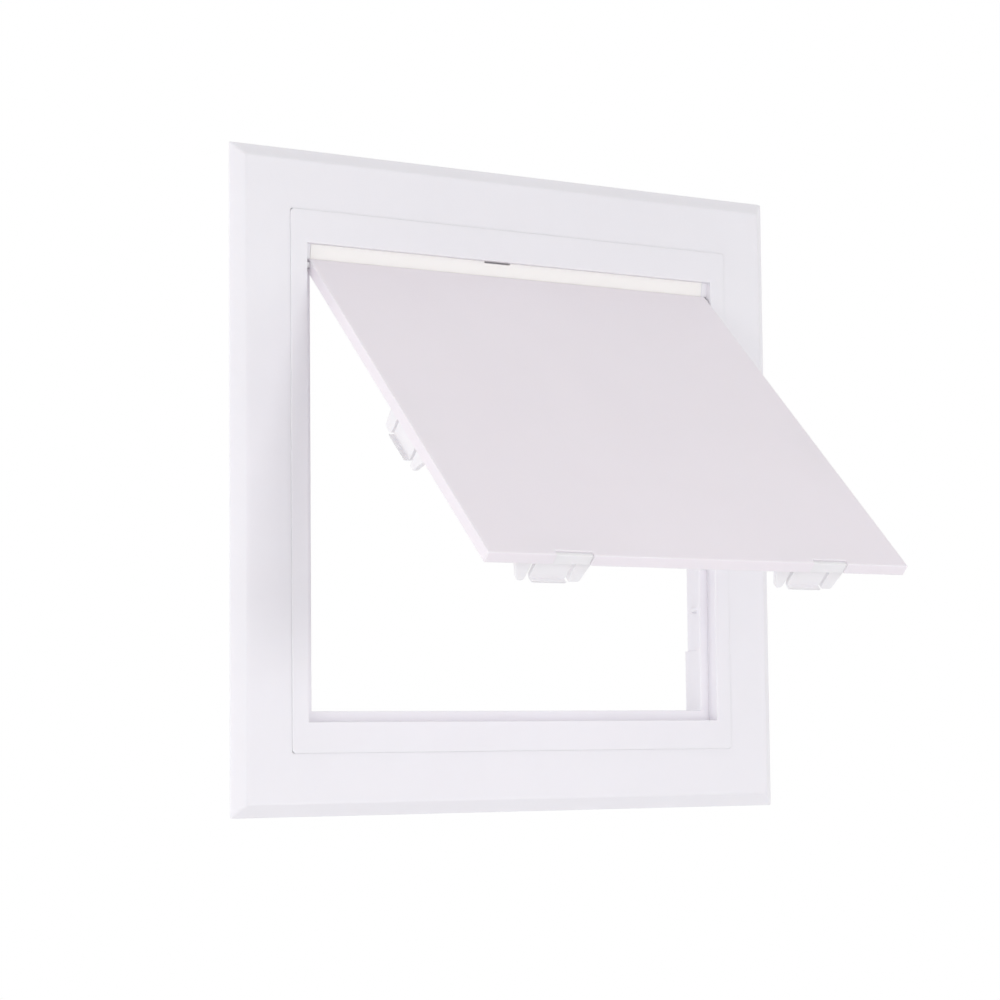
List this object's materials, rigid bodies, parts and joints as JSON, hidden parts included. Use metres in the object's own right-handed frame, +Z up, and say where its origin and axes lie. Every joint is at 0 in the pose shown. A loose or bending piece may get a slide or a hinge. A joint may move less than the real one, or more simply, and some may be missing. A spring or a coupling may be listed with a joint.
{
  "type": "access panel",
  "caption": "Square plastic access panel: a bevelled trim frame with a collar for a wall or ceiling cut-out and a top-hinged door that snaps shut on sprung latches.",
  "frame": {"origin": "middle of the square frame on the wall's face, which is the back of the flange", "axes": "+X to the right seen from the front, +Y into the wall or ceiling, +Z up towards the hinge side"},
  "size_m": [0.24, 0.1398, 0.24],
  "materials": {
    "frame_plastic": "moulded satin white",
    "door_plastic": "moulded satin white",
    "strip_plastic": "moulded satin warm white",
    "latch_plastic": "moulded satin white",
    "pin_plastic": "moulded satin white"
  },
  "bodies": {
    "frame": {"trim_bezel": "frame_plastic", "inner_frame": "frame_plastic", "hinge_strip": "strip_plastic"},
    "door": {"door_panel": "door_plastic", "hinge_pin_left": "pin_plastic", "hinge_pin_right": "pin_plastic", "latch_clip_bottom_left": "latch_plastic", "latch_clip_bottom_right": "latch_plastic", "latch_clip_left": "latch_plastic", "latch_clip_right": "latch_plastic"},
    "tongue_bottom_left": {"latch_tongue_bottom_left": "latch_plastic"},
    "tongue_bottom_right": {"latch_tongue_bottom_right": "latch_plastic"},
    "tongue_left": {"latch_tongue_left": "latch_plastic"},
    "tongue_right": {"latch_tongue_right": "latch_plastic"}
  },
  "joints": [
    {"name": "door_hinge", "type": "hinge", "parent": "frame", "child": "door", "pos_m": [0, -0.00275, 0.07775], "axis": [-1, 0, 0], "range_deg": [-46, 44]},
    {"name": "tongue_bottom_left_flex", "type": "hinge", "parent": "door", "child": "tongue_bottom_left", "pos_m": [-0.0595, -0.11399, -0.03565], "axis": [1, 0, 0], "range_deg": [0, 14], "stiffness_Nm_per_rad": 0.15},
    {"name": "tongue_bottom_right_flex", "type": "hinge", "parent": "door", "child": "tongue_bottom_right", "pos_m": [0.049, -0.11399, -0.03565], "axis": [1, 0, 0], "range_deg": [0, 14], "stiffness_Nm_per_rad": 0.15},
    {"name": "tongue_left_flex", "type": "hinge", "parent": "door", "child": "tongue_left", "pos_m": [-0.0853, -0.06594, 0.01075], "axis": [0, -0.7193, -0.6947], "range_deg": [0, 14], "stiffness_Nm_per_rad": 0.15},
    {"name": "tongue_right_flex", "type": "hinge", "parent": "door", "child": "tongue_right", "pos_m": [0.0853, -0.06594, 0.01075], "axis": [0, 0.7193, 0.6947], "range_deg": [0, 14], "stiffness_Nm_per_rad": 0.15}
  ]
}
